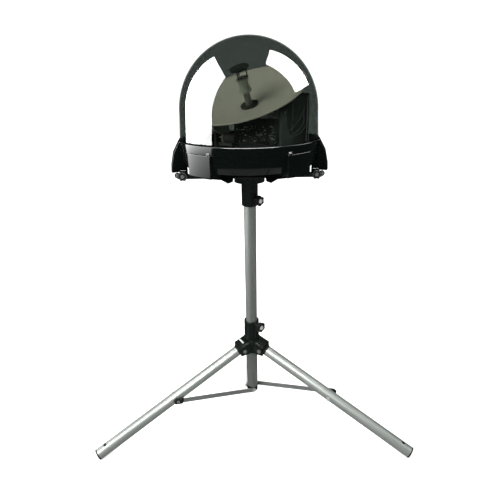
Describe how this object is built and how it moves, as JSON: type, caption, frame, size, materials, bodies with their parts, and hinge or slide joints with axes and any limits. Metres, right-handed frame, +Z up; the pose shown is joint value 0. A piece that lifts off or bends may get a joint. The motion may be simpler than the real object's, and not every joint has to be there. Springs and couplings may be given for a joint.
{
  "type": "domed satellite antenna on folding tripod",
  "caption": "Motorised dish antenna under a smoked see-through dome, clamped by a plate and sleeve to the mast of a folding tripod with braced legs.",
  "frame": {"origin": "on the mast's axis, at the level of the floor that the three leg tips stand on", "axes": "+Z up along the mast; -Y is the front, between two legs; +X to the right seen from the front; the third leg points along +Y"},
  "size_m": [0.9034, 0.7859, 1.101],
  "materials": {
    "silver_tube": "satin anodised, silver",
    "bare_aluminium": "pressed bar, matte silver",
    "black_nylon": "moulded black nylon",
    "knob_black": "moulded black plastic",
    "plated_steel": "zinc plated",
    "black_paint": "powder coat, black",
    "rubber_black": "moulded rubber",
    "gloss_black": "high gloss black",
    "smoked_dome": "smoked clear plastic, polished",
    "brass_plated": "plated thread",
    "gear_nylon": "natural acetal",
    "board_green": "solder mask",
    "dark_parts": "moulded and plated parts",
    "dish_grey": "warm light grey coat",
    "feed_white": "off-white moulding",
    "feed_dark": "dark moulding"
  },
  "bodies": {
    "mast": {"mast_tube": "silver_tube", "mast_foot": "black_nylon", "brace_bolts": "plated_steel"},
    "hub": {"hub_body": "black_nylon", "hub_bush": "black_nylon", "hub_bolts": "plated_steel"},
    "hub_clamp": {"hub_screw": "plated_steel", "hub_knob": "knob_black"},
    "leg_1": {"leg_tube_1": "silver_tube", "leg_top_1": "black_nylon", "leg_tip_1": "black_nylon", "leg_bolt_1": "plated_steel"},
    "leg_2": {"leg_tube_2": "silver_tube", "leg_top_2": "black_nylon", "leg_tip_2": "black_nylon", "leg_bolt_2": "plated_steel"},
    "leg_3": {"leg_tube_3": "silver_tube", "leg_top_3": "black_nylon", "leg_tip_3": "black_nylon", "leg_bolt_3": "plated_steel"},
    "stay_1": {"brace_1": "bare_aluminium", "brace_end_1": "black_nylon"},
    "stay_2": {"brace_2": "bare_aluminium", "brace_end_2": "black_nylon"},
    "stay_3": {"brace_3": "bare_aluminium", "brace_end_3": "black_nylon"},
    "head": {"mount_sleeve": "black_paint", "flange_bolts": "plated_steel", "mount_plate": "black_paint", "clamp_bolts": "plated_steel", "rubber_feet": "rubber_black", "base_tray": "gloss_black", "base_ring": "gloss_black", "ring_screws": "plated_steel", "dome_gasket": "rubber_black", "dome": "smoked_dome", "coax_inlet": "brass_plated", "azimuth_gear": "gear_nylon", "centre_bearing": "plated_steel"},
    "sleeve_clamp": {"sleeve_screw": "plated_steel", "sleeve_knob": "knob_black"},
    "left_clamp": {"left_screw": "plated_steel", "left_knob": "knob_black"},
    "right_clamp": {"right_screw": "plated_steel", "right_knob": "knob_black"},
    "rotor": {"turntable": "black_paint", "yoke_arms": "black_paint", "control_board": "board_green", "board_parts": "dark_parts", "azimuth_motor": "dark_parts", "elevation_motor": "dark_parts"},
    "azimuth_drive": {"azimuth_pinion": "gear_nylon"},
    "elevation_drive": {"elevation_pinion": "gear_nylon"},
    "reflector": {"dish_bracket": "dish_grey", "elevation_gear": "gear_nylon", "dish": "dish_grey", "feed_plate": "dish_grey", "feed_tube": "feed_white", "feed_cup": "feed_white", "subreflector": "feed_dark"}
  },
  "joints": [
    {"name": "hub_slide", "type": "slide", "parent": "mast", "child": "hub", "axis": [0, 0, 1], "range_m": [0, 0.353]},
    {"name": "leg_1_hinge", "type": "hinge", "parent": "hub", "child": "leg_1", "pos_m": [-0.03421, -0.01975, 0.20514], "axis": [0.5, -0.866, 0], "range_deg": [0, 68]},
    {"name": "leg_2_hinge", "type": "hinge", "parent": "hub", "child": "leg_2", "pos_m": [0.03421, -0.01975, 0.20514], "axis": [0.5, 0.866, 0], "range_deg": [0, 68]},
    {"name": "leg_3_hinge", "type": "hinge", "parent": "hub", "child": "leg_3", "pos_m": [0, 0.0395, 0.20514], "axis": [-1, 0, 0], "range_deg": [0, 68]},
    {"name": "brace_1_hinge", "type": "hinge", "parent": "mast", "child": "stay_1", "pos_m": [0.00502, -0.01869, 0.0375], "axis": [-0.5, 0.866, 0], "range_deg": [0, 67.1]},
    {"name": "brace_2_hinge", "type": "hinge", "parent": "mast", "child": "stay_2", "pos_m": [0.01368, 0.0137, 0.0375], "axis": [-0.5, -0.866, 0], "range_deg": [0, 67.1]},
    {"name": "brace_3_hinge", "type": "hinge", "parent": "mast", "child": "stay_3", "pos_m": [-0.0187, 0.005, 0.0375], "axis": [1, 0, 0], "range_deg": [0, 67.1]},
    {"name": "hub_screw_turn", "type": "hinge", "parent": "hub", "child": "hub_clamp", "pos_m": [0.02677, -0.02973, 0.28763], "axis": [0.6691, -0.7431, 0], "range_deg": [0, 360]},
    {"name": "head_swivel", "type": "hinge", "parent": "mast", "child": "head", "pos_m": [0, 0, 0.701], "axis": [0, 0, 1], "continuous": true},
    {"name": "sleeve_screw_turn", "type": "hinge", "parent": "head", "child": "sleeve_clamp", "pos_m": [0.02543, -0.02824, 0.691], "axis": [0.6691, -0.7431, 0], "range_deg": [0, 360]},
    {"name": "left_screw_turn", "type": "hinge", "parent": "head", "child": "left_clamp", "pos_m": [-0.171, -0.066, 0.7725], "axis": [0, -1, 0], "range_deg": [0, 360]},
    {"name": "right_screw_turn", "type": "hinge", "parent": "head", "child": "right_clamp", "pos_m": [0.171, -0.066, 0.7725], "axis": [0, -1, 0], "range_deg": [0, 360]},
    {"name": "azimuth_turn", "type": "hinge", "parent": "head", "child": "rotor", "pos_m": [0, 0, 0.793], "axis": [0, 0, 1], "range_deg": [-185, 185]},
    {"name": "azimuth_pinion_turn", "type": "hinge", "parent": "rotor", "child": "azimuth_drive", "pos_m": [0.04232, 0.05825, 0.796], "axis": [0, 0, 1], "range_deg": [-930, 930]},
    {"name": "elevation_tilt", "type": "hinge", "parent": "rotor", "child": "reflector", "pos_m": [0, 0, 0.9225], "axis": [-0.809, 0.5878, 0], "range_deg": [-43, 3]},
    {"name": "elevation_pinion_turn", "type": "hinge", "parent": "rotor", "child": "elevation_drive", "pos_m": [-0.06917, 0.05026, 0.852], "axis": [-0.809, 0.5878, 0], "range_deg": [-20, 250]}
  ],
  "couplings": [
    {"joint": "leg_1_hinge", "follows": "hub_slide", "rad_per_m": 3.3621},
    {"joint": "leg_2_hinge", "follows": "hub_slide", "rad_per_m": 3.3621},
    {"joint": "leg_3_hinge", "follows": "hub_slide", "rad_per_m": 3.3621},
    {"joint": "brace_1_hinge", "follows": "hub_slide", "rad_per_m": 3.313},
    {"joint": "brace_2_hinge", "follows": "hub_slide", "rad_per_m": 3.313},
    {"joint": "brace_3_hinge", "follows": "hub_slide", "rad_per_m": 3.313},
    {"joint": "azimuth_pinion_turn", "follows": "azimuth_turn", "ratio": 5},
    {"joint": "elevation_pinion_turn", "follows": "elevation_tilt", "ratio": -5.7143}
  ]
}
